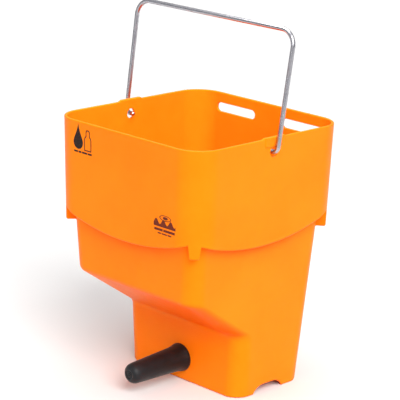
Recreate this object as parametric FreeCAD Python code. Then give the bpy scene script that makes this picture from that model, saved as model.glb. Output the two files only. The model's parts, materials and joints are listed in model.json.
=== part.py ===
# Single-calf teat feeder: a moulded bucket with a cut-back lower front, a rubber teat
# through that front wall, and a wire bail that hinges in two holes below the rim.
# Millimetres. +Z is up and the teat points along -Y. The origin is under the middle
# of the rim, on the plane that the feet stand on.
import FreeCAD, Part
import math
import os

Vector = FreeCAD.Vector

# --- driving dimensions -------------------------------------------------------------
# Bucket, upper band
rim_width = 220.0          # across the rim, along X
rim_depth = 223.5          # front to back at the rim, along Y
height = 293.0             # feet to rim
corner_radius = 31.0       # vertical corners of the band
wall = 3.2                 # moulded wall, the same all over
band_taper = 0.0217        # inset of each band face per mm down from the rim
rim_round = 1.1            # rounding of the rim's outer edge, chamfer of its inner one

# Step between the band and the tub under it
step_width = 11.3          # how far the tub stands in from the band
step_height = 176.8        # lowest point of the step's arched edge
front_arc_radius = 285.0   # arch of the step's edge across the front and back
side_arc_radius = 270.0    # arch of the step's edge along the sides
side_arc_shift = -7.0      # the side arches bottom out this far from mid-depth

# Stacking lugs, one hanging from the band at each corner
lug_foot_rise = 0.8        # lug feet above the lowest point of the step's edge
lug_top_width = 15.5
lug_foot_width = 10.5
lug_burial = 1.1           # lug tops this far inside the band

# Tub, lower body
tub_taper = 0.060          # inset of each tub face per mm down
tub_corner_radius = 19.0   # vertical corners of the tub
toe_setback = 95.5         # rim's front face to the lower front wall, at the feet
toe_lean = 0.025           # the lower front wall leans forward by this much per mm up
nose_height = 122.8        # where the sloping underside meets the upper front
slope_angle = 33.8         # underside of the cut-back, degrees from level
tub_overlap = 40.0         # the tub's walls run on this far up inside the band

# Base
floor_top = 12.4           # inner floor above the feet
floor_thickness = 3.1
scallop_gap = 0.7          # floor's underside to the top of the arch under each side wall
front_foot = 26.0          # lower front wall to the start of each arch
rear_foot = 32.0           # end of each arch to the back of the tub

# Hanging slots in the back wall
slot_length = 59.0
slot_height = 10.5
slot_margin = 30.5         # outer end of each slot to the side of the rim
slot_drop = 17.0           # slot centres below the rim

# Bail pivots
pivot_drop = 15.0          # pivot centres below the rim
pivot_hole_radius = 5.5
ear_width = 28.0           # thickened ear outside each pivot, along Y
ear_thickness = 1.2        # how far an ear stands out from the wall
ear_rise = 1.5             # how far an ear stands above the rim
ear_gap = 0.6              # from the hole's top to the ear's lower edge
ear_round = 2.5            # lower corners of an ear
ear_shoulder = 4.0         # rise of an ear runs out over this length each way

# Bail handle
wire_radius = 2.5
bail_reach = 126.0         # pivot axis to the middle of the grip wire
bail_lean = 7.7            # degrees back from upright, as stored
leg_clearance = 0.5        # between each leg and the ear that it passes
leg_splay = 2.3            # each leg is this much further out at the grip
pivot_bend_radius = 6.0
grip_bend_radius = 17.0
wire_end_inside = 5.0      # how far the wire's ends stand in past the wall
wire_end_round = 2.0

# Teat
teat_length = 77.5         # from the wall's outer face to the tip's outlet
teat_root_radius = 14.1    # body where it leaves the bead
teat_tip_radius = 11.4
bead_radius = 15.8         # outer bead that seals against the wall
bead_length = 5.0
bead_fillet = 3.0
neck_radius = 9.5          # neck that sits in the wall's hole
neck_gap = 0.2             # between the neck and the hole
flange_radius = 13.2       # inner flange behind the wall
flange_thickness = 4.0
flange_gap = 0.4           # from the flange down to the inner floor
teat_bore_radius = 7.0     # milk passage at the root
teat_bore_tip_radius = 6.0
tip_thickness = 6.0
outlet_dish_radius = 4.5   # shallow dish round the outlet
outlet_dish_depth = 1.2
outlet_rim = 0.9           # flat ring between the dish and the tip's rounding
slit_length = 7.0          # crossed slits through the tip
slit_width = 0.7

# --- sizes that follow from them ----------------------------------------------------
half_width = rim_width / 2
half_depth = rim_depth / 2
margin = 20.0                                 # cutting tools overshoot by this much
tolerance = 0.01
pivot_z = height - pivot_drop
slot_z = height - slot_drop
slot_spacing = rim_width - 2 * slot_margin - slot_length     # centre to centre
tub_reach = step_height + tub_overlap
toe_y = -half_depth + toe_setback
floor_under = floor_top - floor_thickness
lug_foot_height = step_height + lug_foot_rise
teat_height = floor_top + flange_gap + flange_radius   # teat centre, at the wall's outer face
teat_tip_round = teat_tip_radius - outlet_dish_radius - outlet_rim


def band_inset(z):
    """How far the band's outer faces stand in from the rim's outline at height z."""
    return band_taper * (height - z)


def tub_inset(z):
    """The same for the tub's outer faces."""
    return band_inset(step_height) + step_width + tub_taper * (step_height - z)


def toe_face(z):
    """Y of the lower front wall's outer face at height z."""
    return toe_y - toe_lean * z


def arch_rise(radius, reach):
    """How much higher an arch's edge is at reach from its middle."""
    return radius - math.sqrt(radius ** 2 - reach ** 2)


def box(x0, y0, z0, x1, y1, z1):
    return Part.makeBox(x1 - x0, y1 - y0, z1 - z0, Vector(x0, y0, z0))


def polygon_face(points):
    return Part.Face(Part.makePolygon(points + points[:1]))


def tangent_arc(start, ahead, aside):
    """Arc that leaves start along ahead and ends at start + ahead + aside."""
    radius = (ahead.Length ** 2 + aside.Length ** 2) / (2 * aside.Length)
    half = math.atan2(aside.Length, ahead.Length)
    middle = (start + Vector(ahead).normalize() * radius * math.sin(half)
              + Vector(aside).normalize() * radius * (1 - math.cos(half)))
    return Part.Arc(start, middle, start + ahead + aside).toShape()


def rectangle(inset, z):
    """Four corners at height z, drawn in from the rim's outline by inset."""
    x, y = half_width - inset, half_depth - inset
    return [Vector(-x, -y, z), Vector(x, -y, z), Vector(x, y, z), Vector(-x, y, z)]


def rounded_frustum(inset_at, z0, z1, radius, thickness):
    """Tapered block with rounded upright corners, every face moved in by thickness."""
    low, high = (rectangle(inset_at(z) + thickness, z) for z in (z0, z1))
    sides = [polygon_face([low[k - 1], low[k], high[k], high[k - 1]]) for k in range(4)]
    ends = [polygon_face(low[::-1]), polygon_face(high)]
    block = Part.makeSolid(Part.makeShell(ends + sides))
    upright = [e for e in block.Edges if e.BoundBox.ZLength > (z1 - z0) / 2]
    return block.makeFillet(radius - thickness, upright)


# --- bucket -------------------------------------------------------------------------
def arch_prism(radius, along_y, shift, lift):
    """Everything below an arch that sags to step_height + lift, as a prism."""
    span = max(half_width, half_depth) + margin
    low = step_height + lift
    high = low + arch_rise(radius, span)
    ends = [Vector(-span, 0, high), Vector(span, 0, high)]
    arc = Part.Arc(ends[0], Vector(0, 0, low), ends[1]).toShape()
    bottom = low - 2 * margin
    sides = Part.makePolygon([ends[1], Vector(span, 0, bottom), Vector(-span, 0, bottom), ends[0]])
    reach = span + margin
    prism = Part.Face(Part.Wire([arc] + sides.Edges)).extrude(Vector(0, 2 * reach, 0))
    prism.translate(Vector(0, -reach, 0))
    if not along_y:
        prism.rotate(Vector(0, 0, 0), Vector(0, 0, 1), 90)
        prism.translate(Vector(0, shift, 0))
    return prism


def level_edges(shape, z):
    """Edges that lie flat at height z."""
    return [e for e in shape.Edges
            if abs(e.BoundBox.ZMin - z) < tolerance and abs(e.BoundBox.ZMax - z) < tolerance]


def band(thickness, lift, top):
    """Upper band down to its arched edge."""
    block = rounded_frustum(band_inset, step_height - margin, top, corner_radius, thickness)
    if thickness == 0:
        block = block.makeFillet(rim_round, level_edges(block, top))
    across = arch_prism(front_arc_radius, True, 0, lift)
    along = arch_prism(side_arc_radius, False, side_arc_shift, lift)
    return block.cut(across.common(along))


def lugs():
    """Four tapered stacking lugs in the corners of the band's outline."""
    lug_top_height = step_height + arch_rise(front_arc_radius, half_width) + lug_burial
    block = rounded_frustum(band_inset, lug_foot_height, lug_top_height, corner_radius, 0)
    reach = half_width + half_depth
    outline = [Vector(-lug_foot_width / 2, 0, lug_foot_height),
               Vector(lug_foot_width / 2, 0, lug_foot_height),
               Vector(lug_top_width / 2, 0, lug_top_height),
               Vector(-lug_top_width / 2, 0, lug_top_height)]
    blade = polygon_face(outline).extrude(Vector(0, reach, 0))
    centre_x = half_width - corner_radius
    centre_y = half_depth - corner_radius
    made = []
    for sign_x, sign_y in ((1, 1), (-1, 1), (-1, -1), (1, -1)):
        turned = blade.copy()
        turned.rotate(Vector(0, 0, 0), Vector(0, 0, 1),
                      math.degrees(math.atan2(-sign_x, sign_y)))
        turned.translate(Vector(sign_x * centre_x, sign_y * centre_y, 0))
        made.append(block.common(turned))
    return made


def tub_front(z):
    """Y of the tub's upper front face at height z."""
    return -half_depth + tub_inset(z)


def nose_corner(thickness):
    """(y, z) where the upper front face and the underside cross, moved in by thickness."""
    slope = math.tan(math.radians(slope_angle))
    lift = thickness / math.cos(math.radians(slope_angle))
    z = nose_height + (lift - slope * thickness) / (1 - slope * tub_taper)
    return tub_front(z) + thickness, z


def heel_corner(thickness):
    """(y, z) where the underside and the lower front wall cross, moved in by thickness."""
    slope = math.tan(math.radians(slope_angle))
    nose_y, nose_z = nose_corner(thickness)
    z = (nose_z - slope * (toe_y + thickness - nose_y)) / (1 - slope * toe_lean)
    return toe_face(z) + thickness, z


def tub_section(z, front, thickness):
    """Rounded outline of the tub at height z, with its front face at y = front."""
    inset = tub_inset(z) + thickness
    x, back, radius = half_width - inset, half_depth - inset, tub_corner_radius - thickness
    corners = ((x, front, -90), (x, back, 0), (-x, back, 90), (-x, front, 180))
    arcs = []
    for corner_x, corner_y, start in corners:
        centre = Vector(corner_x - math.copysign(radius, corner_x),
                        corner_y + (radius if corner_y == front else -radius), z)
        turns = [math.radians(start + turn) for turn in (0, 45, 90)]
        ends = [centre + Vector(math.cos(t), math.sin(t), 0) * radius for t in turns]
        arcs.append(Part.Arc(*ends).toShape())
    edges = []
    for arc, following in zip(arcs, arcs[1:] + arcs[:1]):
        edges += [arc, Part.makeLine(arc.lastVertex().Point, following.firstVertex().Point)]
    return Part.Wire(edges)


def tub(thickness, bottom):
    """Lower body with its cut-back front, every face moved in by thickness."""
    nose_y, nose_z = nose_corner(thickness)
    heel_y, heel_z = heel_corner(thickness)
    fronts = {bottom: toe_face(bottom) + thickness, heel_z: heel_y, nose_z: nose_y,
              tub_reach: tub_front(tub_reach) + thickness}
    return Part.makeLoft([tub_section(z, y, thickness) for z, y in fronts.items()], True, True)


def ear(sign):
    """Thickened ear outside one pivot hole, rising a little above the rim."""
    low = pivot_z + pivot_hole_radius + ear_gap
    top = height + ear_rise
    half = ear_width / 2
    plate = box(0, -half, low, half_width + ear_thickness, half, top)
    keep = rounded_frustum(lambda z: band_inset(z) - ear_thickness, low - margin, top,
                           corner_radius, 0)
    plate = plate.common(keep)
    corners = [e for e in plate.Edges if e.BoundBox.XLength > half_width / 2
               and e.BoundBox.ZMax < low + tolerance]
    plate = plate.makeFillet(ear_round, corners)
    # the rise runs out into the rim on both sides, rooted below the rim's rounding
    root = height - 2 * rim_round
    foot = half + ear_shoulder
    ramp = [Vector(0, -foot, height), Vector(0, -half, top), Vector(0, half, top),
            Vector(0, foot, height), Vector(0, foot, root), Vector(0, -foot, root)]
    crest = polygon_face(ramp).extrude(Vector(half_width, 0, 0))
    crest = crest.common(rounded_frustum(band_inset, low - margin, top, corner_radius, 0))
    both = plate.fuse(crest)
    return both if sign > 0 else both.mirror(Vector(0, 0, 0), Vector(1, 0, 0))


def bucket_outside():
    outside = band(0, 0, height)
    for piece in lugs() + [ear(1), ear(-1)]:
        outside = outside.fuse(piece)
    return outside.fuse(tub(0, 0)).removeSplitter()


def bucket_inside():
    upper = band(wall, wall, height + margin)
    mouth = rounded_frustum(lambda z: wall + height - z - rim_round, height - rim_round,
                            height + margin, corner_radius - wall, 0)
    return upper.fuse(tub(wall, floor_top)).fuse(mouth).removeSplitter()


def skirt_hollow():
    """Open space under the floor, inside the skirt that the feet are part of."""
    block = tub(wall, -margin)
    return block.common(box(-half_width, -half_depth, -margin, half_width, half_depth, floor_under))


def scallops():
    """Arches cut in the skirt under the two side walls."""
    y0 = toe_y + front_foot
    y1 = half_depth - tub_inset(0) - rear_foot
    top = floor_under - scallop_gap
    ramp = (y1 - y0) / 3
    front, back = Vector(0, y0 + ramp, top), Vector(0, y1 - ramp, top)
    down = Vector(0, 0, -top)
    arcs = [tangent_arc(front, Vector(0, -ramp, 0), down), tangent_arc(back, Vector(0, ramp, 0), down)]
    below = Part.makePolygon([Vector(0, y0, 0), Vector(0, y0, -margin), Vector(0, y1, -margin),
                              Vector(0, y1, 0)])
    edges = arcs + [Part.makeLine(front, back)] + below.Edges
    arch = Part.Face(Part.Wire(Part.__sortEdges__(edges))).extrude(Vector(rim_width, 0, 0))
    arch.translate(Vector(-half_width, 0, 0))
    return arch


def stadium_slot(centre_x):
    """Hanging slot through the back wall, with round ends."""
    radius = slot_height / 2
    half = slot_length / 2 - radius
    y0, depth = half_depth - margin, 2 * margin
    slot = box(centre_x - half, y0, slot_z - radius, centre_x + half, y0 + depth, slot_z + radius)
    for end in (-half, half):
        start = Vector(centre_x + end, y0, slot_z)
        slot = slot.fuse(Part.makeCylinder(radius, depth, start, Vector(0, 1, 0)))
    return slot.removeSplitter()


def teat_axis():
    """Start of the teat's axis on the wall's outer face, and its outward direction."""
    start = Vector(0, toe_face(teat_height), teat_height)
    return start, Vector(0, -1, -toe_lean).normalize()


def make_bucket():
    shell = bucket_outside().cut(bucket_inside()).cut(skirt_hollow()).cut(scallops())
    for side in (-1, 1):
        shell = shell.cut(stadium_slot(side * slot_spacing / 2))
    pivots = Part.makeCylinder(pivot_hole_radius, rim_width + 2 * margin,
                               Vector(-half_width - margin, 0, pivot_z), Vector(1, 0, 0))
    start, out = teat_axis()
    hole = Part.makeCylinder(neck_radius + neck_gap, 4 * wall, start - out * 2 * wall, out)
    shell = shell.cut(pivots).cut(hole)
    return shell


# --- teat ---------------------------------------------------------------------------
def teat_profile():
    """Closed outline of half the teat: x is the radius, z the distance out from the wall."""
    groove = -wall * math.cos(math.atan(toe_lean))
    back = groove - flange_thickness
    inner_tip = teat_length - tip_thickness
    root = [Vector(teat_bore_radius, 0, back), Vector(flange_radius, 0, back),
            Vector(flange_radius, 0, groove), Vector(neck_radius, 0, groove),
            Vector(neck_radius, 0, 0), Vector(bead_radius, 0, 0),
            Vector(bead_radius, 0, bead_length - bead_fillet)]
    bead = tangent_arc(root[-1], Vector(0, 0, 2 * bead_fillet),
                       Vector(teat_root_radius - bead_radius, 0, 0))
    side = [Vector(teat_root_radius, 0, bead_length + bead_fillet),
            Vector(teat_tip_radius, 0, teat_length - teat_tip_round)]
    nose = tangent_arc(side[-1], Vector(0, 0, teat_tip_round), Vector(-teat_tip_round, 0, 0))
    tip = [Vector(teat_tip_radius - teat_tip_round, 0, teat_length),
           Vector(outlet_dish_radius, 0, teat_length), Vector(0, 0, teat_length - outlet_dish_depth),
           Vector(0, 0, inner_tip), Vector(teat_bore_tip_radius, 0, inner_tip), root[0]]
    return Part.Wire(Part.makePolygon(root).Edges + [bead] + Part.makePolygon(side).Edges + [nose]
                     + Part.makePolygon(tip).Edges)


def make_teat():
    """The profile revolved about its axis, slit at the tip and laid along the teat's axis."""
    body = Part.Face(teat_profile()).revolve(Vector(0, 0, 0), Vector(0, 0, 1), 360)
    for turn in (0, 90):
        slit = box(-slit_length / 2, -slit_width / 2, teat_length - tip_thickness - margin,
                   slit_length / 2, slit_width / 2, teat_length + margin)
        slit.rotate(Vector(0, 0, 0), Vector(0, 0, 1), turn)
        body = body.cut(slit)
    start, out = teat_axis()
    body.rotate(Vector(0, 0, 0), Vector(1, 0, 0), math.degrees(math.atan2(-out.y, out.z)))
    body.translate(start)
    return body


# --- bail ---------------------------------------------------------------------------
def rounded_path(points, radii):
    """Straight runs through points, with a tangent arc of its own radius at each turn."""
    edges, last = [], points[0]
    for before, corner, after, radius in zip(points, points[1:], points[2:], radii):
        back, on = (before - corner).normalize(), (after - corner).normalize()
        half = back.getAngle(on) / 2
        reach = radius / math.tan(half)
        middle = corner + (back + on).normalize() * radius * (1 / math.sin(half) - 1)
        start, end = corner + back * reach, corner + on * reach
        edges.append(Part.LineSegment(last, start).toShape())
        edges.append(Part.Arc(start, middle, end).toShape())
        last = end
    edges.append(Part.LineSegment(last, points[-1]).toShape())
    return Part.Wire(edges)


def make_bail():
    """One bent wire, made upright in the XZ plane and then leaned back about its pivots."""
    end_x = half_width - band_inset(pivot_z) - wall - wire_end_inside
    foot_x = half_width + ear_thickness + leg_clearance + wire_radius
    top_x = foot_x + leg_splay
    top_z = pivot_z + bail_reach
    points = [Vector(-end_x, 0, pivot_z), Vector(-foot_x, 0, pivot_z), Vector(-top_x, 0, top_z),
              Vector(top_x, 0, top_z), Vector(foot_x, 0, pivot_z), Vector(end_x, 0, pivot_z)]
    radii = [pivot_bend_radius, grip_bend_radius, grip_bend_radius, pivot_bend_radius]
    path = rounded_path(points, radii)
    section = Part.Wire(Part.makeCircle(wire_radius, points[0], Vector(1, 0, 0)))
    wire = path.makePipeShell([section], True, False)
    ends = [e for e in wire.Edges if abs(abs(e.BoundBox.Center.x) - end_x) < tolerance]
    wire = wire.makeFillet(wire_end_round, ends)
    wire.rotate(Vector(0, 0, pivot_z), Vector(1, 0, 0), -bail_lean)
    return wire


# --- output -------------------------------------------------------------------------
def save(name, shape):
    solid = shape.Solids[0] if len(shape.Solids) == 1 else shape
    solid.exportStep("parts/" + name + ".step")
    print(name, solid.isValid(), solid.ShapeType, round(solid.Volume), solid.BoundBox)


os.makedirs("parts", exist_ok=True)
save("bucket", make_bucket())
save("teat", make_teat())
save("bail", make_bail())
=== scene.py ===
# %% [markdown]
# # A calf teat feeder
# The real object is one orange moulded bucket, one black rubber teat and one bent wire bail. The CAD
# frame holds their sizes and the hinge. Here each of them is built again as a finer mesh on the same
# sizes, with the soft edges that a mould leaves, and gets a finish of its own.

# %% Load the frame
import json
import math

import bmesh
import bpy
import numpy as np
from mathutils import Matrix, Vector


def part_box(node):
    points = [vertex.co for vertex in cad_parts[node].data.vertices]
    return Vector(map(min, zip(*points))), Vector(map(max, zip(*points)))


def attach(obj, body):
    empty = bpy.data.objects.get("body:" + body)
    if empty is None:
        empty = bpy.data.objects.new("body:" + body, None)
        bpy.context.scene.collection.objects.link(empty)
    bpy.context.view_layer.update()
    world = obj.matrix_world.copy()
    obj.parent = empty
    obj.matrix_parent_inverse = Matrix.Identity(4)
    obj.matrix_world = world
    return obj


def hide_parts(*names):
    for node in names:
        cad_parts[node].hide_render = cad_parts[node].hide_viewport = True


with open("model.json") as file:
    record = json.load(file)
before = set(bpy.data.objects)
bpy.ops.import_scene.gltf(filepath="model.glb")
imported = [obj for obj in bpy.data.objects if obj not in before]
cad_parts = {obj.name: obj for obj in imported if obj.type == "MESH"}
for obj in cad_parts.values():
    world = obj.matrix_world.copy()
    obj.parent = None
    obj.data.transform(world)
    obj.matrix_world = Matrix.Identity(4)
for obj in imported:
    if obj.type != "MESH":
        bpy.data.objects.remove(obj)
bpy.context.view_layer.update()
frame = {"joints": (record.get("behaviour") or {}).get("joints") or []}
mm = 0.001

# %% [markdown]
# ## Sizes
# Whatever the frame can say is read from it: the outline, the rim, the hinge. The rest are the
# moulding's own sizes, the same as in the CAD source, written once here in millimetres times mm.

# %% Sizes of the bucket
bucket_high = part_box("bucket")[1]
bail_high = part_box("bail")[1]
hinge = Vector(frame["joints"][0]["pos_m"])
ear_stand = 1.2 * mm              # the ears stand out from the walls by this much
ear_rise = 1.5 * mm               # and above the rim by this much
half_width = bucket_high.x - ear_stand
half_depth = bucket_high.y
rim_z = bucket_high.z - ear_rise
wall = 3.2 * mm
band_corner = 31 * mm             # radius of the band's upright corners
tub_corner = 19 * mm
band_taper = 0.0217
tub_taper = 0.060
step_width = 11.3 * mm
step_low = 176.8 * mm             # lowest point of the step's arched edge
front_arch = 285 * mm
side_arch = 270 * mm
side_arch_shift = -7 * mm
toe_y = 95.5 * mm - half_depth    # lower front wall's outer face, at the feet
floor_top = 12.4 * mm
floor_under = 9.3 * mm
scallop_height = floor_under - 0.7 * mm


def band_inset(z):
    """How far the band's outer faces stand in from the rim's outline at height z."""
    return band_taper * (rim_z - z)


def tub_inset(z):
    """The same for the tub's outer faces."""
    return band_inset(step_low) + step_width + tub_taper * (step_low - z)


tub_back = half_depth - tub_inset(0)
scallop_front = toe_y + 26 * mm   # the arches in the skirt start here
scallop_back = tub_back - 32 * mm  # and end here
print("rim", round(2 * half_width, 4), "x", round(2 * half_depth, 4), "at", round(rim_z, 4))

# %% [markdown]
# ## How a finish is written
# A finish is a small graph of shader nodes. Building it by hand takes a line for each link, so this
# class wraps a socket: sums and products on it add the node that does them, and `add` makes any other
# node from its type, its settings and its socket values. What varies over the surface goes only to
# colour, roughness and bump, and constants are set on the shader itself.

# %% A socket that does arithmetic
class Field:
    """An output socket. Arithmetic on it adds Math, Vector Math or Mix nodes."""

    def __init__(self, tree, socket):
        self.tree, self.socket = tree, socket

    @classmethod
    def add(cls, tree, kind, settings=None, values=None, output=0):
        """Adds one node: its type, its settings, then its sockets' values or links."""
        node = tree.nodes.new(kind)
        for name, value in (settings or {}).items():
            setattr(node, name, value)
        for name, value in (values or {}).items():
            if isinstance(value, Field):
                tree.links.new(value.socket, node.inputs[name])
            else:
                node.inputs[name].default_value = value
        return cls(tree, node.outputs[output])

    def combine(self, operation, first, second):
        """One node for both: Mix if either is a colour, Vector Math if a vector, else Math."""
        kinds = {x.socket.type for x in (first, second) if isinstance(x, Field)}
        if "RGBA" in kinds:
            return Field.add(self.tree, "ShaderNodeMix", {"data_type": "RGBA", "blend_type": operation},
                             {0: 1.0, 6: first, 7: second}, output=2)
        if "VECTOR" in kinds:
            first, second = (x if isinstance(x, (Field, tuple)) else (x, x, x) for x in (first, second))
            return Field.add(self.tree, "ShaderNodeVectorMath", {"operation": operation},
                             {0: first, 1: second})
        return Field.add(self.tree, "ShaderNodeMath", {"operation": operation}, {0: first, 1: second})

    def __add__(self, other):
        return self.combine("ADD", self, other)

    def __radd__(self, other):
        return self.combine("ADD", other, self)

    def __sub__(self, other):
        return self.combine("SUBTRACT", self, other)

    def __rsub__(self, other):
        return self.combine("SUBTRACT", other, self)

    def __mul__(self, other):
        return self.combine("MULTIPLY", self, other)

    def __rmul__(self, other):
        return self.combine("MULTIPLY", other, self)

    def between(self, low, high):
        """0 where this is low, 1 where it is high, smooth in between."""
        return Field.add(self.tree, "ShaderNodeMapRange", {"interpolation_type": "SMOOTHSTEP"},
                         {"Value": self, "From Min": low, "From Max": high})

    def blend(self, first, second):
        """The colour first where this is 0, second where it is 1."""
        return Field.add(self.tree, "ShaderNodeMix", {"data_type": "RGBA"},
                         {0: self, 6: first, 7: second}, output=2)


# %% A material's first nodes
def new_finish(name, **constants):
    """A material, its tree and its one Principled shader, whose constant sockets are set."""
    material = bpy.data.materials.new(name)
    material.use_nodes = True
    tree = material.node_tree
    shader = next(n for n in tree.nodes if n.type == "BSDF_PRINCIPLED")
    for socket, value in constants.items():
        shader.inputs[socket.replace("_", " ")].default_value = value
    return material, tree, shader


def noise(tree, place, scale, detail=2.0, roughness=0.5):
    """Cloudy noise with scale features to the metre."""
    return Field.add(tree, "ShaderNodeTexNoise", {"noise_dimensions": "3D"},
                     {"Vector": place, "Scale": scale, "Detail": detail, "Roughness": roughness})


def bump(tree, height, distance, under=None):
    """A bump of the given depth, on top of the bump under it."""
    values = {"Height": height, "Strength": 1.0, "Distance": distance}
    if under is not None:
        values["Normal"] = under
    return Field.add(tree, "ShaderNodeBump", None, values)


def feed(tree, shader, **fields):
    """Links each field to the shader's socket of that name."""
    for socket, field in fields.items():
        tree.links.new(field.socket, shader.inputs[socket.replace("_", " ")])


# %% [markdown]
# ## Orange polyethylene
# The bucket's plastic is a deep orange, coloured right through, with a satin skin copied from the
# mould. Three things keep it from looking like paint: slow drifts of colour, a skin whose gloss changes
# from place to place, and a faint waviness that bends the highlights. A little light travels inside
# the plastic, which subsurface scattering gives, set as a constant. Shade is also painted into the
# colour: the lower half is painted a deeper red where its walls shelter each other and on its
# undersides, most of all towards the right, standing in for redder light thrown from wall to wall.
# Rim and feet are the places that get handled and dragged, so there the skin is rubbed paler and duller.

# %% Orange polyethylene
def orange_plastic():
    fresh, warm, pale = (0.95, 0.188, 0.0035, 1), (0.98, 0.212, 0.0048, 1), (1.0, 0.235, 0.008, 1)
    # The first colour on the line below is a painted shade red, not a colour of the plastic; the second is
    # rubbed wear.
    painted_shade_red, rubbed = (0.86, 0.050, 0.001, 1), (1.0, 0.36, 0.06, 1)
    material, tree, shader = new_finish(
        "orange_polyethylene", Subsurface_Weight=0.12, Subsurface_Radius=(0.9, 0.28, 0.05),
        Subsurface_Scale=0.004, IOR=1.5, Specular_IOR_Level=0.12, Specular_Tint=(1.0, 0.50, 0.07, 1))
    place = Field.add(tree, "ShaderNodeTexCoord", output="Object")
    height = Field.add(tree, "ShaderNodeSeparateXYZ", None, {0: place}, output="Z")
    drift = noise(tree, place, 9.0, 3.0, 0.55).between(0.3, 0.7)
    cloud = noise(tree, place, 60.0, 4.0, 0.6).between(0.25, 0.75)
    grain = noise(tree, place, 1400.0, 2.0, 0.5)
    scuff = noise(tree, place * (1.0, 1.0, 0.12), 900.0, 3.0, 0.7).between(0.60, 0.74)
    handled = 1 - height.between(0.0, 9 * mm) * (1 - height.between(rim_z - 2.5 * mm, rim_z))
    worn = handled * scuff
    colour = drift.blend(fresh, warm)
    colour = (cloud * 0.22).blend(colour, pale)
    # Painted shade: occlusion by the bucket's own walls and downward-facing surfaces, more to the right,
    # paint the lower half deeper red.
    occlusion_for_shade = Field.add(tree, "ShaderNodeAmbientOcclusion", {"samples": 12, "only_local": True},
                         {"Distance": 75 * mm}, output="AO")
    faces_up = Field.add(tree, "ShaderNodeSeparateXYZ", None,
                         {0: Field.add(tree, "ShaderNodeNewGeometry", output="Normal")}, output="Z")
    shade_gradient_right = Field.add(tree, "ShaderNodeSeparateXYZ", None, {0: place}, output="X")
    shade_gradient_right = shade_gradient_right.between(-90 * mm, 60 * mm)
    painted_underside_shade = (1 - faces_up.between(-0.95, 0.0)) * (shade_gradient_right * 0.38 + 0.22)
    painted_shade_mask = 1 - occlusion_for_shade.between(0.50, 1.0) * (1 - painted_underside_shade)
    painted_shade_mask = painted_shade_mask * (1 - height.between(150 * mm, 200 * mm))
    # The painted shade is mixed into the colour here.
    colour = painted_shade_mask.blend(colour, painted_shade_red)
    colour = (worn * 0.45).blend(colour, rubbed)
    wave = bump(tree, noise(tree, place, 38.0, 1.0, 0.4), 0.35 * mm)
    skin = bump(tree, grain, 0.035 * mm, wave)
    feed(tree, shader, Base_Color=colour, Roughness=0.34 + cloud * 0.07 + grain * 0.06 + worn * 0.16,
         Normal=bump(tree, worn, 0.05 * mm, skin))
    return material


orange = orange_plastic()
print("finish", orange.name, len(orange.node_tree.nodes), "nodes")

# %% [markdown]
# ## Black rubber
# Moulded rubber is nearly black, but a bloom of wax and dust lifts it to a soft grey in patches, and it
# is paler towards the tip. A sheen set as a constant gives its dull edge light, and the fine pitted skin is
# a bump.

# %% Black rubber
def black_rubber():
    bare, paler_grey = (0.0012, 0.0012, 0.0020, 1), (0.008, 0.0085, 0.011, 1)
    material, tree, shader = new_finish(
        "black_rubber", Sheen_Weight=0.06, Sheen_Roughness=0.5, IOR=1.52, Specular_IOR_Level=0.28)
    place = Field.add(tree, "ShaderNodeTexCoord", output="Object")
    forward = Field.add(tree, "ShaderNodeSeparateXYZ", None, {0: place}, output="Y")
    # The colour is made paler over the last 30 mm towards the tip.
    tip = 1 - forward.between(-90 * mm, -60 * mm)
    bloom = noise(tree, place, 110.0, 5.0, 0.62).between(0.35, 0.75)
    pits = noise(tree, place, 2600.0, 3.0, 0.6)
    flow = noise(tree, place * (1.0, 0.12, 1.0), 420.0, 3.0, 0.5)
    colour = (bloom * 0.6 + tip * 0.35).blend(bare, paler_grey)
    wave = bump(tree, flow, 0.12 * mm)
    feed(tree, shader, Base_Color=colour, Roughness=0.44 + bloom * 0.14 + pits * 0.1,
         Normal=bump(tree, pits, 0.04 * mm, wave))
    return material


rubber = black_rubber()
print("finish", rubber.name, len(rubber.node_tree.nodes), "nodes")

# %% [markdown]
# ## Drawn wire
# The bail is zinc-bright steel wire. Drawing it through a die leaves hair-fine lines along its length,
# so the pattern has to follow the wire round its bends. The tube's own coordinates do that: u runs
# along the wire, ten to the metre, and v runs once round it. The lines are noise drawn out along u.

# %% Drawn wire
def drawn_wire():
    dark, bright, stained = (0.30, 0.30, 0.33, 1), (0.58, 0.58, 0.62, 1), (0.28, 0.25, 0.26, 1)
    material, tree, shader = new_finish("drawn_steel_wire", Metallic=1.0, Anisotropic=0.35)
    along = Field.add(tree, "ShaderNodeUVMap", {"uv_map": "along_wire"})
    place = Field.add(tree, "ShaderNodeTexCoord", output="Object")
    lines = noise(tree, along * (3.0, 46.0, 0.0), 1.0, 4.0, 0.65)
    stain = noise(tree, place, 75.0, 4.0, 0.6).between(0.42, 0.78)
    colour = lines.between(0.3, 0.7).blend(dark, bright)
    colour = (stain * 0.5).blend(colour, stained)
    feed(tree, shader, Base_Color=colour, Roughness=0.17 + lines * 0.16 + stain * 0.14,
         Normal=bump(tree, lines, 0.02 * mm))
    return material


wire_metal = drawn_wire()
print("finish", wire_metal.name, len(wire_metal.node_tree.nodes), "nodes")

# %% [markdown]
# ## Printing ink
# The marks on the front are thin layers of ink, black for the upper mark and brown for the lower one.
# Ink is matt and a little uneven, and where the pad pressed lightly the orange shows through, so its
# colour is mixed towards the plastic's in small specks.

# %% Printing ink
def printed_ink(name, dark, thin):
    """Ink that varies between a dark colour and a thinner one, with specks of plastic in it."""
    plastic = (0.50, 0.13, 0.02, 1)
    material, tree, shader = new_finish(name, IOR=1.45, Specular_IOR_Level=0.2)
    place = Field.add(tree, "ShaderNodeTexCoord", output="Object")
    density = noise(tree, place, 300.0, 3.0, 0.6)
    specks = noise(tree, place, 1500.0, 2.0, 0.5).between(0.60, 0.70)
    colour = density.blend(dark, thin)
    colour = (specks * 0.35).blend(colour, plastic)
    feed(tree, shader, Base_Color=colour, Roughness=0.42 + density * 0.2,
         Normal=bump(tree, density, 0.01 * mm))
    return material


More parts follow.
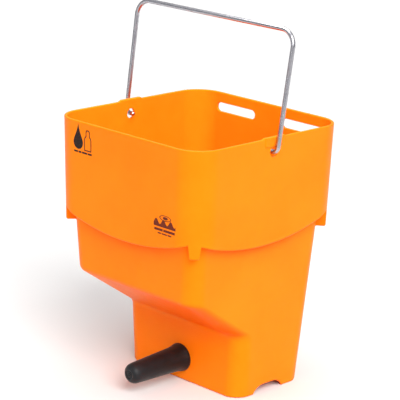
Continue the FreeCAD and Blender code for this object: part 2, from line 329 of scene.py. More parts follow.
black_ink = printed_ink("black_ink", (0.004, 0.003, 0.003, 1), (0.020, 0.008, 0.006, 1))
brown_ink = printed_ink("brown_ink", (0.075, 0.008, 0.003, 1), (0.180, 0.024, 0.005, 1))
print("inks", black_ink.name, brown_ink.name)

# %% [markdown]
# ## The bucket as one grid
# The bucket could be cut from blocks as the CAD does, but then every edge is sharp. It could be voxel
# remeshed, but that blurs flat walls. Instead one grid runs over the whole skin. Its columns stand round
# the outline and its rows run from the middle of the inner floor, up the inside, over the rim, down the
# outside and back under the floor. Each row is a rounded rectangle, so corners, taper, arches, stacking
# lugs and the slope are each a formula for where a row passes.
#
# A column is three numbers: how far its corner centre is across, how far it is along, and which way the
# column faces. The same column then exists on the band, on the tub and on the slope.

# %% Columns round the outline
def side_stations(count, extra):
    """Places from 0 to 1 along one side, evenly spaced, with the extra ones put in."""
    return np.unique(np.round(np.concatenate([np.linspace(0, 1, count), extra]), 6))


def corner_stations():
    """Angles from 0 to 90 degrees round a corner, closest together where the lug is."""
    lug = np.degrees(np.arcsin(np.linspace(-lug_reach, lug_reach, 31) / band_corner)) + 45
    return np.concatenate([np.linspace(4, lug[0] - 4, 6), lug, np.linspace(lug[-1] + 4, 86, 6)])


lug_reach = 9 * mm                              # a lug and its slants end this far from the diagonal
straight = 2 * (half_depth - band_corner)       # length of a side wall between its corners
ear_half = 14 * mm                              # half the width of an ear
ear_shoulder = 4 * mm                           # its rise runs out over this length
ear_steps = (-0.9, -0.5, -0.15, 0.15, 0.5, 0.9)
ear_places = [edge + step * mm for edge in (-ear_half, ear_half) for step in ear_steps]
ear_places += [sign * (ear_half + ear_shoulder + step * mm) for sign in (-1, 1) for step in (-1, 0, 1)]
ear_stations = [0.5 + y / straight for y in ear_places]
arch_stations = ((np.linspace(scallop_front, scallop_back, 29) - toe_y - tub_corner)
                 / (tub_back - toe_y - 2 * tub_corner))
side = side_stations(31, ear_stations + list(arch_stations))
front = np.linspace(-1, 1, 31)
corner = corner_stations()


def lay(values, size):
    """One row of numbers for all the columns, run by run."""
    return np.concatenate([np.broadcast_to(np.asarray(v, float), n) for v, n in zip(values, size)])


runs = [len(front), len(corner), len(side), len(corner)] * 2
across = lay([front, 1, 1, 1, -front, -1, -1, -1], runs)
along = lay([0, 0, side, 1, 1, 1, side[::-1], 0], runs)
turn = np.radians(lay([-90, corner - 90, 0, corner, 90, corner + 90, 180, corner + 180], runs))
on_side = np.abs(np.cos(turn)) > 0.999          # the columns that face straight out of a side wall
print(len(turn), "columns")


# %% Rows of the band and the tub
def outline(half_x, front_y, back_y, radius, z):
    """Every column's point on a rounded rectangle at height z."""
    x = across * (half_x - radius) + radius * np.cos(turn)
    y = front_y + radius + along * (back_y - front_y - 2 * radius) + radius * np.sin(turn)
    return np.stack([x, y, np.broadcast_to(z, x.shape)], axis=1)


def band_row(z, inside=0.0, stand=0.0):
    """Row on the upper band, moved in by inside, or out by stand."""
    inset = band_inset(z) + inside - stand
    return outline(half_width - inset, inset - half_depth, half_depth - inset, band_corner - inside, z)


# %% [markdown]
# ## The cut-back front
# Seen from the side, the tub's front face goes down, turns under at the nose, slopes back and turns
# down again at the heel. Both turns are round, about 9 mm outside at the nose and 12 mm at the heel.
# The line is worked out once as points of a path with two tangent arcs. The inner skin follows the same
# path moved in by the wall, so the wall keeps its thickness round the bends.

# %% The front line
toe_lean = 0.025
nose_z = 122.8 * mm
slope = math.radians(33.8)
nose_round = 9 * mm
heel_round = 12 * mm


def front_corners():
    """(y, z) of the foot, the heel, the nose and a point up inside the band."""
    nose_y = tub_inset(nose_z) - half_depth
    rise = math.tan(slope)
    heel_z = (nose_z - rise * (toe_y - nose_y)) / (1 - rise * toe_lean)
    below, top = 100 * mm, 230 * mm
    return [Vector((toe_y + toe_lean * below, -below)), Vector((toe_y - toe_lean * heel_z, heel_z)),
            Vector((nose_y, nose_z)), Vector((tub_inset(top) - half_depth, top))]


def rounded_line(points, radii, steps=9):
    """The line through points with a tangent arc at each inner one, and its normal at each point."""
    line = [points[0]]
    for before, middle, after, radius in zip(points, points[1:], points[2:], radii):
        back, on = (before - middle).normalized(), (after - middle).normalized()
        half = back.angle(on) / 2
        centre = middle + (back + on).normalized() * radius / math.sin(half)
        first, last = (middle + way * radius / math.tan(half) - centre for way in (back, on))
        for k in range(steps + 1):
            line.append(centre + first.slerp(last, k / steps).normalized() * radius)
    return line + [points[-1]]


def moved_in(line, distance):
    """The same line moved towards the inside of the tub, which is on +y."""
    moved = []
    for k, point in enumerate(line):
        way = line[min(k + 1, len(line) - 1)] - line[max(k - 1, 0)]
        moved.append(point + Vector((way.y, -way.x)).normalized() * distance)
    return moved


front_line = rounded_line(front_corners(), [heel_round, nose_round])
front_lines = {0.0: np.array(front_line), wall: np.array(moved_in(front_line, wall))}
print("heel at", [round(v, 4) for v in front_corners()[1]])


def tub_row(z, inside=0.0):
    """Row on the tub; its front follows the front line."""
    line = front_lines[inside]
    inset = tub_inset(z) + inside
    front_y = np.interp(z, line[:, 1], line[:, 0])
    return outline(half_width - inset, front_y, half_depth - inset, tub_corner - inside, z)


def tub_levels(inside, low, high, gap):
    """Heights of the tub's rows: the arcs' own points, with the straight stretches filled in."""
    own = [z for z in front_lines[inside][:, 1] if low < z < high]
    levels = [low]
    for z in own + [high]:
        count = max(1, round((z - levels[-1]) / gap))
        levels += list(np.linspace(levels[-1], z, count + 1)[1:])
    return levels


# %% [markdown]
# ## The step and its stacking lugs
# The band's lower edge is an arch on every wall: the lower of two big circles. At each corner a short
# tapered lug hangs from it, which rests on the rim of the next bucket in a stack. So every column has
# its own height for the edge. Where two formulas meet, a soft minimum rounds the meeting.

# %% Height of the edge at each column
lug_foot = 177.6 * mm
lug_foot_half = 5.25 * mm
lug_slant = 9.0                   # a lug's sides rise this much per unit outwards
lug_round = 0.35 * mm
edge_level = 190 * mm             # the band's outline is taken here, at about the edge's middle


def soft_least(a, b, reach):
    """The smaller of a and b, blended where they are within reach of each other."""
    h = np.clip(0.5 + 0.5 * (b - a) / reach, 0, 1)
    return b + (a - b) * h - reach * h * (1 - h)


def arch_height(points, lift):
    """Height of the arched edge at each point, raised by lift."""
    x, y = points[:, 0], points[:, 1] - side_arch_shift
    over_front = front_arch - np.sqrt(front_arch ** 2 - x ** 2)
    over_side = side_arch - np.sqrt(side_arch ** 2 - y ** 2)
    return step_low + lift + soft_least(over_front, over_side, 1.5 * mm)


def lug_height(points):
    """Height of the lugs' outline, from the distance to each corner's diagonal."""
    turned = np.sin(turn - (np.floor(turn / (np.pi / 2)) + 0.5) * np.pi / 2) * band_corner
    off = np.where(np.isclose(np.cos(turn) * np.sin(turn), 0, atol=1e-6), 1.0, np.abs(turned))
    past = np.clip(off - lug_foot_half, -1 * mm, None)
    return lug_foot + lug_slant * 0.5 * (past + np.sqrt(past ** 2 + lug_round ** 2))


edge_line = band_row(edge_level)
outer_edge = soft_least(arch_height(edge_line, 0), lug_height(edge_line), 1.2 * mm)
inner_edge = arch_height(edge_line, wall)
print("edge from", round(outer_edge.min(), 4), "to", round(outer_edge.max(), 4))

# %% [markdown]
# ## Rows from the floor to the rim and back
# The list below is the whole skin, in order. A step is a quarter turn out of the tub, a run along the
# ledge and a quarter turn up into the band. The share of the way from the tub's outline to the band's
# goes from 0 to 1 across it.

# %% The step's rows
def quarter(count):
    """Angles over a quarter turn, in count steps."""
    return [k / count * math.pi / 2 for k in range(count + 1)]


def step_rows(edge, hollow, crown, inside):
    """Rows across a step, from tub to band: hollow is its inner radius, crown its outer one."""
    rows = []
    for a in quarter(4):
        rows.append((edge - hollow * (1 - math.sin(a)), (1 - math.cos(a)) * hollow / step_width))
    for share in np.linspace(hollow / step_width, 1 - crown / step_width, 6)[1:-1]:
        rows.append((edge, share))
    for a in quarter(5):
        rows.append((edge + crown * (1 - math.cos(a)), 1 - (1 - math.sin(a)) * crown / step_width))
    return [tub_row(z, inside) * (1 - share) + band_row(z, inside) * share for z, share in rows]


def spread(first, last, count):
    """Heights of count rows strictly between two rows' heights."""
    return [first + (last - first) * k / (count + 1) for k in range(1, count + 1)]


# %% The ears and the rim
ear_low = hinge.z + 6.1 * mm
ear_corner = 2.5 * mm
ear_blend = 0.9 * mm              # an ear's edge comes off the wall over this width


def eased(share):
    """A share kept between 0 and 1, with a level start and a level end."""
    share = np.clip(share, 0, 1)
    return share * share * (3 - 2 * share)


def ear_share(points):
    """1 on an ear, 0 off it, from the distance to its rounded outline."""
    y, z = np.abs(points[:, 1]), points[:, 2]
    out_y, out_z = y - ear_half + ear_corner, ear_low + ear_corner - z
    outside = np.hypot(np.clip(out_y, 0, None), np.clip(out_z, 0, None))
    distance = outside + np.minimum(np.maximum(out_y, out_z), 0) - ear_corner
    return np.where(on_side, eased(0.5 - distance / ear_blend), 0)


def with_ears(z, inside=0.0, stand=0.0):
    """Band row whose ears stand out, and rise with the rim."""
    row = band_row(z, inside, stand)
    rise = np.where(on_side, eased((ear_half + ear_shoulder - np.abs(row[:, 1])) / ear_shoulder), 0)
    grow = np.clip((row[:, 2] - ear_low) / (rim_z - ear_low), 0, 1)
    if not inside:
        row[:, 0] += np.sign(row[:, 0]) * ear_stand * ear_share(row)
    row[:, 2] += ear_rise * rise * grow
    return row


# %% [markdown]
# ## Foot, skirt and floor
# The bucket stands on a skirt, and two shallow arches are cut in it under the side walls, where
# fingers get under it. The arch lifts the lowest rows of the side columns, inside and outside alike.

# %% Scallops in the skirt
def scallop_lift():
    """How far the skirt's edge is lifted at each column: an arc up, a level third, an arc down."""
    y = tub_row(0.0)[:, 1]
    ramp = (scallop_back - scallop_front) / 3
    radius = (ramp ** 2 + scallop_height ** 2) / (2 * scallop_height)
    gone = np.clip(np.minimum(y - scallop_front, scallop_back - y), 0, ramp)
    lift = scallop_height - radius + np.sqrt(radius ** 2 - (ramp - gone) ** 2)
    return np.where(on_side, lift, 0)


foot = scallop_lift()


def shrunk(row, share, z):
    """A row drawn in towards the middle of the floor."""
    middle = (row.min(axis=0) + row.max(axis=0)) / 2
    made = middle + (row - middle) * share
    made[:, 2] = z
    return made


# %% All the rows
rim_round = 1.1 * mm
floor_fillet = 4 * mm
step_hollow = 1.5 * mm            # radius where the tub turns out into the step, on both skins
inner_crown = 3 * mm              # radius where the step turns up into the band, inside
outer_crown = 2.2 * mm            # and outside
foot_round = 1.5 * mm
skirt_least = 1.6 * mm            # the skirt's inner face is at least this high over an arch
tub_top = 172 * mm                # the tub's rows are level up to here and bend to the step above
band_middle = 215 * mm            # the band's rows bend to the step below this height
tub_foot = 16 * mm                # the tub's outer rows bend over the arches below this height


def inner_rows():
    """From the middle of the floor up the inside to the rim."""
    start = tub_row(floor_top, wall)
    rows = [shrunk(start, share, floor_top) for share in (0.15, 0.4, 0.65, 0.85)]
    for a in quarter(5):
        drawn = tub_row(floor_top + floor_fillet * (1 - math.cos(a)), wall)
        share = 1 - floor_fillet * (1 - math.sin(a)) / half_width
        rows.append(shrunk(drawn, share, drawn[0, 2]))
    levels = tub_levels(wall, floor_top + floor_fillet, tub_top, 7 * mm)
    rows += [tub_row(z, wall) for z in levels[1:]]
    rows += [tub_row(z, wall) for z in spread(tub_top, inner_edge - step_hollow, 2)]
    rows += step_rows(inner_edge, step_hollow, inner_crown, wall)
    rows += [band_row(z, wall) for z in spread(inner_edge + inner_crown, band_middle, 3)]
    rows += [band_row(z, wall) for z in np.linspace(band_middle, ear_low - 3 * mm, 9)]
    rows += [with_ears(z, wall) for z in np.linspace(ear_low - 1 * mm, rim_z - rim_round, 4)]
    return rows


def rim_rows():
    """Over the rim: a quarter turn up and outwards, and a quarter turn down."""
    rows = []
    for a in quarter(4)[1:]:
        rows.append(with_ears(rim_z - rim_round * (1 - math.sin(a)), wall - rim_round * (1 - math.cos(a))))
    for a in quarter(4)[:0:-1]:
        rows.append(with_ears(rim_z - rim_round * (1 - math.sin(a)), 0, -rim_round * (1 - math.cos(a))))
    return rows


def outer_rows():
    """Down the outside, with rows close together round the ears' lower edge."""
    close = (2.6, 2.0, 1.5, 1.0, 0.6, 0.3, 0, -0.3, -0.6, -1.0, -1.6)
    rows = [with_ears(z) for z in np.linspace(rim_z - rim_round, ear_low + 3.2 * mm, 4)]
    rows += [with_ears(ear_low + step * mm) for step in close]
    rows += [band_row(z) for z in np.linspace(ear_low - 4 * mm, band_middle, 9)]
    rows += [band_row(z) for z in spread(band_middle, outer_edge + outer_crown, 5)]
    rows += step_rows(outer_edge, step_hollow, outer_crown, 0.0)[::-1]
    rows += [tub_row(z) for z in spread(outer_edge - step_hollow, tub_top, 3)]
    rows += [tub_row(z) for z in tub_levels(0.0, tub_foot, tub_top, 6 * mm)[::-1]]
    rows += [tub_row(z) for z in spread(tub_foot, foot + foot_round, 4)]
    return rows


def foot_rows():
    """Round the skirt's lower edge in a half turn, up its inside and in under the floor."""
    rows = []
    for k in range(9):
        a = k / 8 * math.pi
        z = foot + foot_round * (1 - math.sin(a))
        share = 0.5 * (1 - math.cos(a))
        rows.append(tub_row(z) * (1 - share) + tub_row(z, wall) * share)
    top = np.maximum(floor_under, foot + skirt_least)
    rows += [tub_row(z, wall) for z in spread(foot + foot_round, top, 2)]
    under = tub_row(top, wall)
    rows += [under] + [shrunk(under, share, floor_under) for share in (0.97, 0.85, 0.6, 0.3)]
    return rows


skin_rows = inner_rows() + rim_rows() + outer_rows() + foot_rows()
print(len(skin_rows), "rows")


# %% Mesh from rows
def mesh_object(name, vertices, faces, material):
    """A piece from vertices and faces, closed, facing out and smooth."""
    mesh = bpy.data.meshes.new(name)
    mesh.from_pydata([tuple(v) for v in vertices], [], faces)
    piece = bpy.data.objects.new(name, mesh)
    bpy.context.scene.collection.objects.link(piece)
    mesh.materials.append(material)
    shape = bmesh.new()
    shape.from_mesh(mesh)
    bmesh.ops.recalc_face_normals(shape, faces=shape.faces)
    shape.to_mesh(mesh)
    shape.free()
    mesh.shade_smooth()
    return piece


def skin_faces(rows, capped=True, base=0):
    """Faces between rows of points, each row closed on itself; base is the first point's number."""
    count = len(rows[0])
    faces = []
    for k in range(len(rows) - 1):
        low, high = base + k * count, base + (k + 1) * count
        faces += [(low + j, low + (j + 1) % count, high + (j + 1) % count, high + j) for j in range(count)]
    if capped:
        faces.append(tuple(base + j for j in range(count))[::-1])
        faces.append(tuple(base + (len(rows) - 1) * count + j for j in range(count)))
    return faces


def skin_of(name, rows, material, capped=True):
    """A piece that is one closed skin over rows of points."""
    return mesh_object(name, np.concatenate(rows), skin_faces(rows, capped), material)


bucket = skin_of("bucket_shell", skin_rows, orange)
print(bucket.name, len(bucket.data.polygons), "faces")

# %% [markdown]
# ## Holes with soft edges
# The slots, the pivot holes and the teat's hole are cut last, with Boolean modifiers. A plain cutter
# leaves a knife edge, so each cutter flares at both skins by the radius of the edge that it leaves.

# %% Cutters
def hole_outline(half_length, radius, grow, count=12):
    """A stadium, or a circle where half_length is 0, grown by grow."""
    points = []
    for end, start in ((1, -90), (-1, 90)):
        for k in range(count + 1):
            a = math.radians(start + 180 * k / count)
            points.append((end * half_length + (radius + grow) * math.cos(a), (radius + grow) * math.sin(a)))
    if half_length == 0:
        points = points[:count] + points[count + 1:-1]
    return points


def cutter(name, place, through, level, half_length, radius, soft):
    """A flared cutter: place is on the outer skin, through points into the wall."""
    up = through.cross(level)
    flare = [(soft * (1 - math.cos(a)), soft * (1 - math.sin(a))) for a in quarter(5)]
    stations = [(-soft, soft * 1.6)] + flare + [(wall - d, g) for d, g in flare[::-1]]
    stations += [(wall + soft, soft * 1.6)]
    rows = []
    for distance, grow in stations:
        rows.append(np.array([place + through * distance + level * u + up * v
                              for u, v in hole_outline(half_length, radius, grow)]))
    return skin_of(name, rows, orange)


def cut(target, tool):
    """Takes the tool's volume out of the target and removes the tool."""
    step = target.modifiers.new("cut", "BOOLEAN")
    step.object, step.operation, step.solver = tool, "DIFFERENCE", "MANIFOLD"
    bpy.context.view_layer.update()
    graph = bpy.context.evaluated_depsgraph_get()
    made = bpy.data.meshes.new_from_object(target.evaluated_get(graph))
    target.modifiers.clear()
    target.data = made
    bpy.data.objects.remove(tool)


# %% Cut the holes
x_way, y_way, z_way = Vector((1, 0, 0)), Vector((0, 1, 0)), Vector((0, 0, 1))
slot_z = rim_z - 17 * mm
slot_across = 50 * mm             # each slot's middle is this far from the back wall's
slot_half = 29.5 * mm
slot_radius = 5.25 * mm
pivot_radius = 5.5 * mm
neck_hole = 9.7 * mm
teat_z = 26 * mm
teat_out = Vector((0, -1, -toe_lean)).normalized()
teat_start = Vector((0, toe_y - toe_lean * teat_z, teat_z))
band_in = Vector((0, -1, band_taper)).normalized()
for sign in (-1, 1):
    start = Vector((sign * slot_across, half_depth - band_inset(slot_z), slot_z))
    cut(bucket, cutter("slot_cutter", start, band_in, x_way, slot_half - slot_radius, slot_radius, 0.6 * mm))
    start = Vector((sign * (half_width - band_inset(hinge.z)), 0, hinge.z))
    way = Vector((-sign, 0, band_taper)).normalized()
    cut(bucket, cutter("pivot_cutter", start, way, y_way, 0, pivot_radius, 0.5 * mm))
cut(bucket, cutter("teat_cutter", teat_start, -teat_out, x_way, 0, neck_hole, 0.4 * mm))
print("cut", len(bucket.data.polygons), "faces")

# %% Shading of the bucket
bucket.data.shade_smooth()
weigh = bucket.modifiers.new("even_shading", "WEIGHTED_NORMAL")
weigh.keep_sharp = True
weigh.weight = 80
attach(bucket, "feeder")
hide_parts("bucket")

# %% [markdown]
# ## The teat
# A teat is turned on a lathe in its mould, so it is one outline spun round its axis: the inner flange
# behind the wall, the narrow neck in the hole, the rounded bead that seals outside, the long tapered
# body and the blunt tip with a shallow ring round its crossed slits. Spinning keeps it exact, and the
# slits are cut afterwards.

# %% The teat's outline
def teat_outline():
    """(distance out from the wall, radius) from the inner flange to the tip's middle."""
    points = [(-7.2, 7.0), (-7.2, 12.4), (-6.9, 13.0), (-6.2, 13.2), (-4.3, 13.2), (-3.6, 12.9),
              (-3.3, 12.3), (-3.25, 10.2), (-3.1, 9.6), (-2.8, 9.5), (-0.5, 9.5), (-0.1, 9.7), (0.0, 10.3),
              (0.0, 14.4), (0.25, 15.2), (0.9, 15.7), (1.8, 15.8), (2.7, 15.75), (3.7, 15.55), (5.0, 15.2),
              (6.5, 14.85), (8.2, 14.5), (10.5, 14.15), (14.0, 13.85), (22.0, 13.45), (34.0, 12.95),
              (48.0, 12.35), (60.0, 11.85), (68.0, 11.5), (71.2, 11.2), (73.6, 10.5), (75.4, 9.4),
              (76.6, 8.1), (77.2, 6.9), (77.5, 6.0), (77.5, 5.5), (77.2, 5.1), (76.9, 4.8), (76.7, 4.2),
              (76.7, 3.4), (77.0, 2.8), (77.1, 2.0), (77.1, 0.8)]
    return [(a * mm, b * mm) for a, b in points]


def teat_bore():
    """The milk passage, from the tip's inner face back to the flange."""
    points = [(71.5, 0.8), (71.5, 4.8), (71.1, 5.6), (70.2, 6.0), (40.0, 6.4), (10.0, 6.8), (-6.7, 7.0)]
    return [(a * mm, b * mm) for a, b in points]


def lathe(outline_points, start, out, count=96):
    """Rings: an outline of (distance, radius) spun about the axis through start along out."""
    up = out.cross(x_way)
    rows = []
    for distance, radius in outline_points:
        angles = [2 * math.pi * k / count for k in range(count)]
        rows.append(np.array([start + out * distance + (x_way * math.cos(a) + up * math.sin(a)) * radius
                              for a in angles]))
    return rows


# %% Spin the teat and cut its slits
tip_rows = lathe(teat_outline(), teat_start, teat_out)
bore_rows = lathe(teat_bore(), teat_start, teat_out)
tip_face = teat_start + teat_out * 77.1 * mm
bore_end = teat_start + teat_out * 71.5 * mm


def closed_teat():
    """Outer skin, tip face, inner tip face, bore and flange, joined row by row and closed on itself."""
    ring = tip_rows[0].shape
    rows = tip_rows + [np.broadcast_to(tip_face, ring), np.broadcast_to(bore_end, ring)]
    return rows + bore_rows + [tip_rows[0]]


def welded(piece, distance=0.01 * mm):
    """The piece with points nearer than distance joined and empty faces gone."""
    shape = bmesh.new()
    shape.from_mesh(piece.data)
    bmesh.ops.remove_doubles(shape, verts=shape.verts, dist=distance)
    bmesh.ops.dissolve_degenerate(shape, dist=distance / 10, edges=shape.edges)
    loose = [v for v in shape.verts if not v.link_faces]
    bmesh.ops.delete(shape, geom=loose, context="VERTS")
    bmesh.ops.recalc_face_normals(shape, faces=shape.faces)
    shape.to_mesh(piece.data)
    shape.free()
    return piece


def blade(length, width, depth, place, out, twist):
    """A thin blade across the tip, for one slit."""
    level = x_way * math.cos(twist) + out.cross(x_way) * math.sin(twist)
    across_way = out.cross(level)
    rows = []
    for distance in (-depth, depth):
        rows.append(np.array([place + out * distance + level * u * length / 2 + across_way * v * width / 2
                              for u, v in ((-1, -1), (1, -1), (1, 1), (-1, 1))]))
    return skin_of("slit", rows, rubber)


teat = welded(skin_of("teat_rubber", closed_teat(), rubber, capped=False))
slit_length, slit_width, slit_depth = 6.4 * mm, 0.55 * mm, 6 * mm
tip_middle = teat_start + teat_out * 74.3 * mm
for twist in (math.radians(35), math.radians(125)):
    cut(teat, blade(slit_length, slit_width, slit_depth, tip_middle, teat_out, twist))
teat.data.set_sharp_from_angle(angle=math.radians(50))
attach(teat, "feeder")
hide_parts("teat")
print(teat.name, len(teat.data.polygons), "faces")

# %% [markdown]
# ## The bail
# One length of wire is bent four times in one plane: in at each pivot, and round at each end of the
# grip. A curve with a bevel would do, but a tube made row by row also carries the coordinates that the
# drawn lines need. Its path is straight runs joined by arcs, as a bending jig makes them, and the ends
# are domed.

# %% The bail's path
wire = 2.5 * mm                   # the wire's radius
bail_lean = math.radians(7.7)     # it leans back by this much as it stands
end_x = half_width - band_inset(hinge.z) - wall - 5 * mm
foot_x = half_width + ear_stand + 0.5 * mm + wire
top_x = bail_high.x - wire
reach = 126 * mm                  # from the hinge to the grip's middle
foot_bend, top_bend = 6 * mm, 17 * mm


def bail_path():
    """Points along the wire's middle, upright in the XZ plane of the hinge, from end to end."""
    points = [Vector((-end_x, 0)), Vector((-foot_x, 0)), Vector((-top_x, reach)),
              Vector((top_x, reach)), Vector((foot_x, 0)), Vector((end_x, 0))]
    line = rounded_line(points, [foot_bend, top_bend, top_bend, foot_bend], steps=18)
    return [Vector((p.x, 0, p.y)) for p in line]


def split_long(path, longest):
    """Adds points on the straight runs so that none is longer than longest."""
    made = [path[0]]
    for a, b in zip(path, path[1:]):
        count = max(1, math.ceil((b - a).length / longest))
        made += [a.lerp(b, k / count) for k in range(1, count + 1)]
    return made


def domed(path, radius, edge):
    """(point, radius) along the wire, drawn in over its last stretch at both ends."""
    start, finish = (path[1] - path[0]).normalized(), (path[-2] - path[-1]).normalized()
    drawn = [(edge * (1 - math.cos(a)), radius - edge * (1 - math.sin(a))) for a in quarter(4)]
    first = [(path[0] + start * d, r) for d, r in drawn]
    last = [(path[-1] + finish * d, r) for d, r in drawn]
    return first + [(p, radius) for p in path[1:-1]] + last[::-1]


# %% The bail's tube
def wire_tube(name, stations, sides, material):
    """A tube along stations in the XZ plane, with u along the wire and v round it."""
    rows, lengths = [], [0.0]
    for k, (point, radius) in enumerate(stations):
        way = (stations[min(k + 1, len(stations) - 1)][0] - stations[max(k - 1, 0)][0]).normalized()
        side_way = way.cross(y_way)
        rows.append(np.array([point + (y_way * math.cos(a) + side_way * math.sin(a)) * radius
                              for a in (2 * math.pi * j / sides for j in range(sides))]))
        if k:
            lengths.append(lengths[-1] + (point - stations[k - 1][0]).length)
    tube = skin_of(name, rows, material)
    layer = tube.data.uv_layers.new(name="along_wire")
    for face in tube.data.polygons:
        turns = [v % sides for v in face.vertices]
        wraps = max(turns) - min(turns) > sides / 2
        for loop, vertex in zip(face.loop_indices, face.vertices):
            around = vertex % sides
            around = around + sides if wraps and around < sides / 2 else around
            layer.data[loop].uv = (lengths[vertex // sides] * 10, around / sides)
    print(name, "is", round(lengths[-1], 4), "m of wire")
    return tube


bail = wire_tube("bail_wire", domed(split_long(bail_path(), 8 * mm), wire, 2 * mm), 32, wire_metal)
bail.data.transform(Matrix.Translation(hinge) @ Matrix.Rotation(-bail_lean, 4, "X"))
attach(bail, "bail")
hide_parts("bail")

# %% [markdown]
# ## Printed marks
# The front of the band carries two printed marks. Lettering and badges belong to their owners, so these
# are plain shapes of this lesson's own: a milk drop beside a bottle's outline, and a row of hills under
# a sun, each over rows of dashes. A filled shape is a loop given the thickness of a film of ink, and an
# outline is two loops with the film between them. They lie on the wall's slant.

# %% Loops for the marks
def oval(radius_x, radius_z, x, z, count=48):
    return [(x + radius_x * math.cos(a), z + radius_z * math.sin(a))
            for a in (2 * math.pi * k / count for k in range(count))]


def drop(radius, height, x, z, count=48):
    """A circle whose top is drawn up to a point."""
    points = []
    for k in range(count):
        a = 2 * math.pi * k / count
        pull = max(0.0, math.sin(a)) ** 3
        points.append((x + radius * math.cos(a) * (1 - pull),
                       z + radius * math.sin(a) + (height - radius) * pull))
    return points


def bottle(radius, neck, tall, x, z, line):
    """A feeding bottle's outline, drawn in by line."""
    r, n, t = radius - line, neck - line, tall - line
    half = [(r, line), (r, t * 0.55), (r * 0.85, t * 0.64), (n, t * 0.72), (n, t * 0.92), (n * 0.6, t)]
    return [(x + u, z + v) for u, v in half + [(-u, v) for u, v in half[::-1]]]


def hills(width, rise, z, count=40):
    """Three rolling hills on a flat foot."""
    top = [(width * (k / count - 0.5), z + rise * (0.55 + 0.45 * math.sin(6 * math.pi * k / count - 0.6)))
           for k in range(count, -1, -1)]
    return [(-width / 2, z - rise * 0.35), (width / 2, z - rise * 0.35)] + top


def dashes(width, tall, z, parts):
    """A row of short bars with gaps, each share in parts being one bar's length."""
    gap = 0.9 * mm
    left, room = -width / 2, width - gap * (len(parts) - 1)
    loops = []
    for share in parts:
        right = left + room * share / sum(parts)
        loops.append([(left, z), (right, z), (right, z + tall), (left, z + tall)])
        left = right + gap
    return loops


# %% Marks on the wall
ink_film = 0.08 * mm
ink_sink = 0.03 * mm              # the film's back is this far inside the skin, so no gap shows
wall_up = Vector((0, -band_taper, 1)).normalized()
wall_out = Vector((0, -1, -band_taper)).normalized()


def printed_mark(name, filled, outlined, x, z, material):
    """Films of ink on the front wall round (x, z): filled loops, and pairs of outer and inner loops."""
    middle = Vector((x, band_inset(z) - half_depth, z))
    vertices, faces = [], []

    def lifted(loop, depth):
        return [middle + x_way * u + wall_up * v + wall_out * depth for u, v in loop]

    for loop in filled:
        rows = [lifted(loop, -ink_sink), lifted(loop, ink_film)]
        faces += skin_faces(rows, True, len(vertices))
        vertices += rows[0] + rows[1]
    for outer, inner in outlined:
        rows = [lifted(outer, -ink_sink), lifted(outer, ink_film), lifted(inner, ink_film),
                lifted(inner, -ink_sink), lifted(outer, -ink_sink)]
        faces += skin_faces(rows, False, len(vertices))
        vertices += sum(rows, [])
    mark = welded(mesh_object(name, vertices, faces, material), 0.001 * mm)
    mark.data.set_sharp_from_angle(angle=math.radians(30))
    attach(mark, "feeder")
    print(name, len(mark.data.polygons), "faces")


line = 1.2 * mm
bottle_place = (5.6 * mm, 3.2 * mm, 23 * mm, 7.6 * mm, -9.6 * mm)
upper_filled = [drop(7.4 * mm, 21 * mm, -7.4 * mm, -2.0 * mm)]
upper_filled += dashes(28 * mm, 2.0 * mm, -13.2 * mm, (3, 2, 4, 3))
upper_outlined = [(bottle(*bottle_place, 0.0), bottle(*bottle_place, line))]
printed_mark("mark_upper", upper_filled, upper_outlined, -60.7 * mm, 272.2 * mm, black_ink)

sun_place = (1 * mm, 8.4 * mm)
lower_filled = [hills(32 * mm, 6.2 * mm, 0.4 * mm), oval(3.8 * mm, 1.6 * mm, *sun_place)]
lower_filled += dashes(30 * mm, 2.6 * mm, -6.2 * mm, (3, 4))
lower_filled += dashes(20 * mm, 1.5 * mm, -9.4 * mm, (2, 3, 2))
lower_outlined = [(oval(8.6 * mm, 3.1 * mm, *sun_place), oval(7.4 * mm, 2.3 * mm, *sun_place))]
printed_mark("mark_lower", lower_filled, lower_outlined, 64 * mm, 208.0 * mm, brown_ink)

# %% [markdown]
# ## Stage, light and camera
# The feeder stands on a pale floor that runs far back. A sky that is brighter overhead than at its
# foot lights it from everywhere, and gives the wire its dark edges. A wide sun from the right and front
# makes the side wall brightest, a weak one from straight in front reaches under the nose, and a small
# lamp over the mouth opens up the inside and draws the rim's bright line. The camera is a long lens a
# little above the rim.

# %% Floor
def pale_floor():
    material, tree, shader = new_finish("pale_floor", Specular_IOR_Level=0.2)
    place = Field.add(tree, "ShaderNodeTexCoord", output="Object")
    cloud = noise(tree, place, 3.0, 3.0, 0.5)
    colour = cloud.blend((0.79, 0.79, 0.79, 1), (0.83, 0.83, 0.83, 1))
    feed(tree, shader, Base_Color=colour, Roughness=0.7 + cloud * 0.1)
    return material


floor_half, floor_z = 6.0, -0.0002
floor_corners = [(x * floor_half, y * floor_half, floor_z) for x, y in ((-1, -1), (1, -1), (1, 1), (-1, 1))]
floor = mesh_object("floor", floor_corners, [(0, 1, 2, 3)], pale_floor())


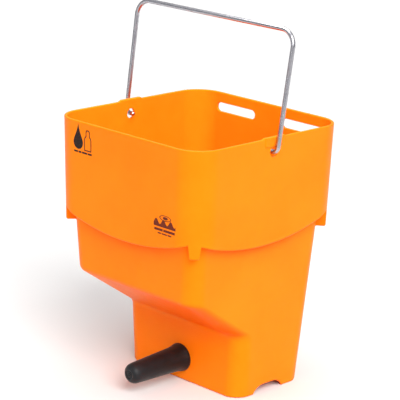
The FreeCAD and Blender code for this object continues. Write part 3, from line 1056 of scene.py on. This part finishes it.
# %% Lights
def soft_sun(name, towards, strength, angle, colour):
    """Even, parallel light from a wide disc in the sky, which lies towards the given direction."""
    lamp = bpy.data.lights.new(name, "SUN")
    lamp.energy, lamp.angle, lamp.color = strength, math.radians(angle), colour
    holder = bpy.data.objects.new(name, lamp)
    holder.rotation_euler = Vector(towards).to_track_quat("Z", "Y").to_euler()
    bpy.context.scene.collection.objects.link(holder)


sky = bpy.data.worlds.new("sky")
sky.use_nodes = True
sky_low, sky_high = (0.27, 0.27, 0.29, 1), (0.72, 0.72, 0.72, 1)
way_up = Field.add(sky.node_tree, "ShaderNodeSeparateXYZ", None,
                   {0: Field.add(sky.node_tree, "ShaderNodeTexCoord", output="Generated")}, output="Z")
shade = way_up.between(0.0, 0.75).blend(sky_low, sky_high)
sky.node_tree.links.new(shade.socket, sky.node_tree.nodes["Background"].inputs["Color"])
bpy.context.scene.world = sky
soft_sun("key_sun", (0.72, -0.35, 0.60), 3.65, 40, (1.0, 0.99, 0.97))
soft_sun("low_fill", (0.10, -0.95, 0.24), 0.30, 30, (1.0, 0.98, 0.95))
mouth_lamp = bpy.data.lights.new("mouth_lamp", "AREA")
mouth_lamp.energy, mouth_lamp.size = 1.5, 0.26
mouth_holder = bpy.data.objects.new("mouth_lamp", mouth_lamp)
mouth_holder.location = (0, 0, 0.62)
mouth_holder.visible_camera = False
bpy.context.scene.collection.objects.link(mouth_holder)
bpy.context.scene.view_settings.view_transform = "Standard"

# %% Camera
azimuth = math.radians(44.60)
elevation = math.radians(15.87)
roll = math.radians(1.867)
distance = 2.0066
target = Vector((2.5, 2.5, 202.1)) * mm
back_way = Vector((math.sin(azimuth) * math.cos(elevation), -math.cos(azimuth) * math.cos(elevation),
                   math.sin(elevation)))
right_way = Vector((math.cos(azimuth), math.sin(azimuth), 0))
up_way = back_way.cross(right_way)
lens_right = right_way * math.cos(roll) + up_way * math.sin(roll)
lens_up = up_way * math.cos(roll) - right_way * math.sin(roll)
lens = bpy.data.cameras.new("camera")
lens.lens, lens.sensor_width = 167.27, 36
camera = bpy.data.objects.new("camera", lens)
camera.matrix_world = Matrix.Translation(target + back_way * distance) @ Matrix(
    (lens_right, lens_up, back_way)).transposed().to_4x4()
bpy.context.scene.collection.objects.link(camera)
bpy.context.scene.camera = camera
